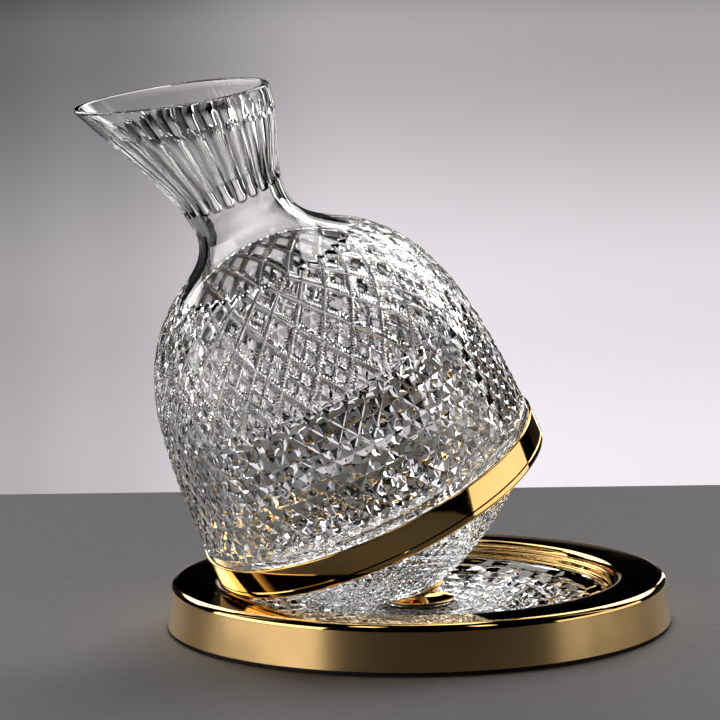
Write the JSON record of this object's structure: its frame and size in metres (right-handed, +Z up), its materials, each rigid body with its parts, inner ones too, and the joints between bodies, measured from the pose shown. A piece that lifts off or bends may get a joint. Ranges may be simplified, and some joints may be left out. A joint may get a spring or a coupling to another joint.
{
  "type": "tumbling decanter on rolling tray",
  "caption": "Diamond-cut crystal decanter with a pointed foot, leaning on a round gold tray, where it rolls on a gold band about a central ball pivot.",
  "frame": {"origin": "centre of the tray's flat underside, on the table", "axes": "+Z up along the tray's axis; the decanter leans towards -X at rest and tilts about Y"},
  "size_m": [0.2485, 0.21, 0.2285],
  "materials": {
    "gold": "polished gold plating on brass",
    "crystal": "clear, polished, diamond cut outside",
    "pressed_glass": "clear pressed glass with fan relief",
    "zinc_steel": "zinc-plated",
    "cast_steel": "as cast, oiled",
    "bearing_steel": "ground and polished",
    "bronze": "turned bronze",
    "pad_rubber": "matt non-slip pad",
    "seal_rubber": "soft",
    "slip_plastic": "low-friction white plastic",
    "adhesive": "cured clear-white adhesive"
  },
  "bodies": {
    "base": {"tray_shell": "gold", "foot_pad": "pad_rubber", "base_plate": "zinc_steel", "plate_screws": "zinc_steel", "ballast_ring": "cast_steel", "glass_dish": "pressed_glass", "dish_gasket": "seal_rubber", "centre_gasket": "seal_rubber", "hub_housing": "zinc_steel", "hub_rivets": "zinc_steel", "bearing_outer_race": "bearing_steel", "bearing_balls": "bearing_steel", "bearing_cage": "bronze"},
    "swivel": {"bearing_inner_race": "bearing_steel", "spacer_washer": "bronze", "saucer": "gold", "pivot_post": "gold", "spindle_clip": "zinc_steel"},
    "ball": {"pivot_ball": "bearing_steel"},
    "cup": {"ball_cup": "bronze"},
    "decanter": {"thrust_washer": "slip_plastic", "spin_bush": "bronze", "tip_flange": "gold", "tip_adhesive": "adhesive", "roll_band": "gold", "band_adhesive": "adhesive", "glass_foot": "crystal", "glass_decanter": "crystal"}
  },
  "joints": [
    {"name": "decanter_swivel", "type": "hinge", "parent": "base", "child": "swivel", "pos_m": [0, 0, 0.015], "axis": [0, 0, 1], "continuous": true},
    {"name": "decanter_lift", "type": "slide", "parent": "swivel", "child": "ball", "axis": [0, 0, 1], "range_m": [0, 0.12]},
    {"name": "decanter_tilt", "type": "hinge", "parent": "ball", "child": "cup", "pos_m": [0, 0, 0.015], "axis": [0, 1, 0], "range_deg": [0, 51.3]},
    {"name": "decanter_spin", "type": "hinge", "parent": "cup", "child": "decanter", "pos_m": [0, 0, 0.015], "axis": [-0.4329, 0, 0.9015], "continuous": true}
  ],
  "couplings": [
    {"joint": "decanter_spin", "follows": "decanter_swivel", "ratio": -1.1414}
  ]
}
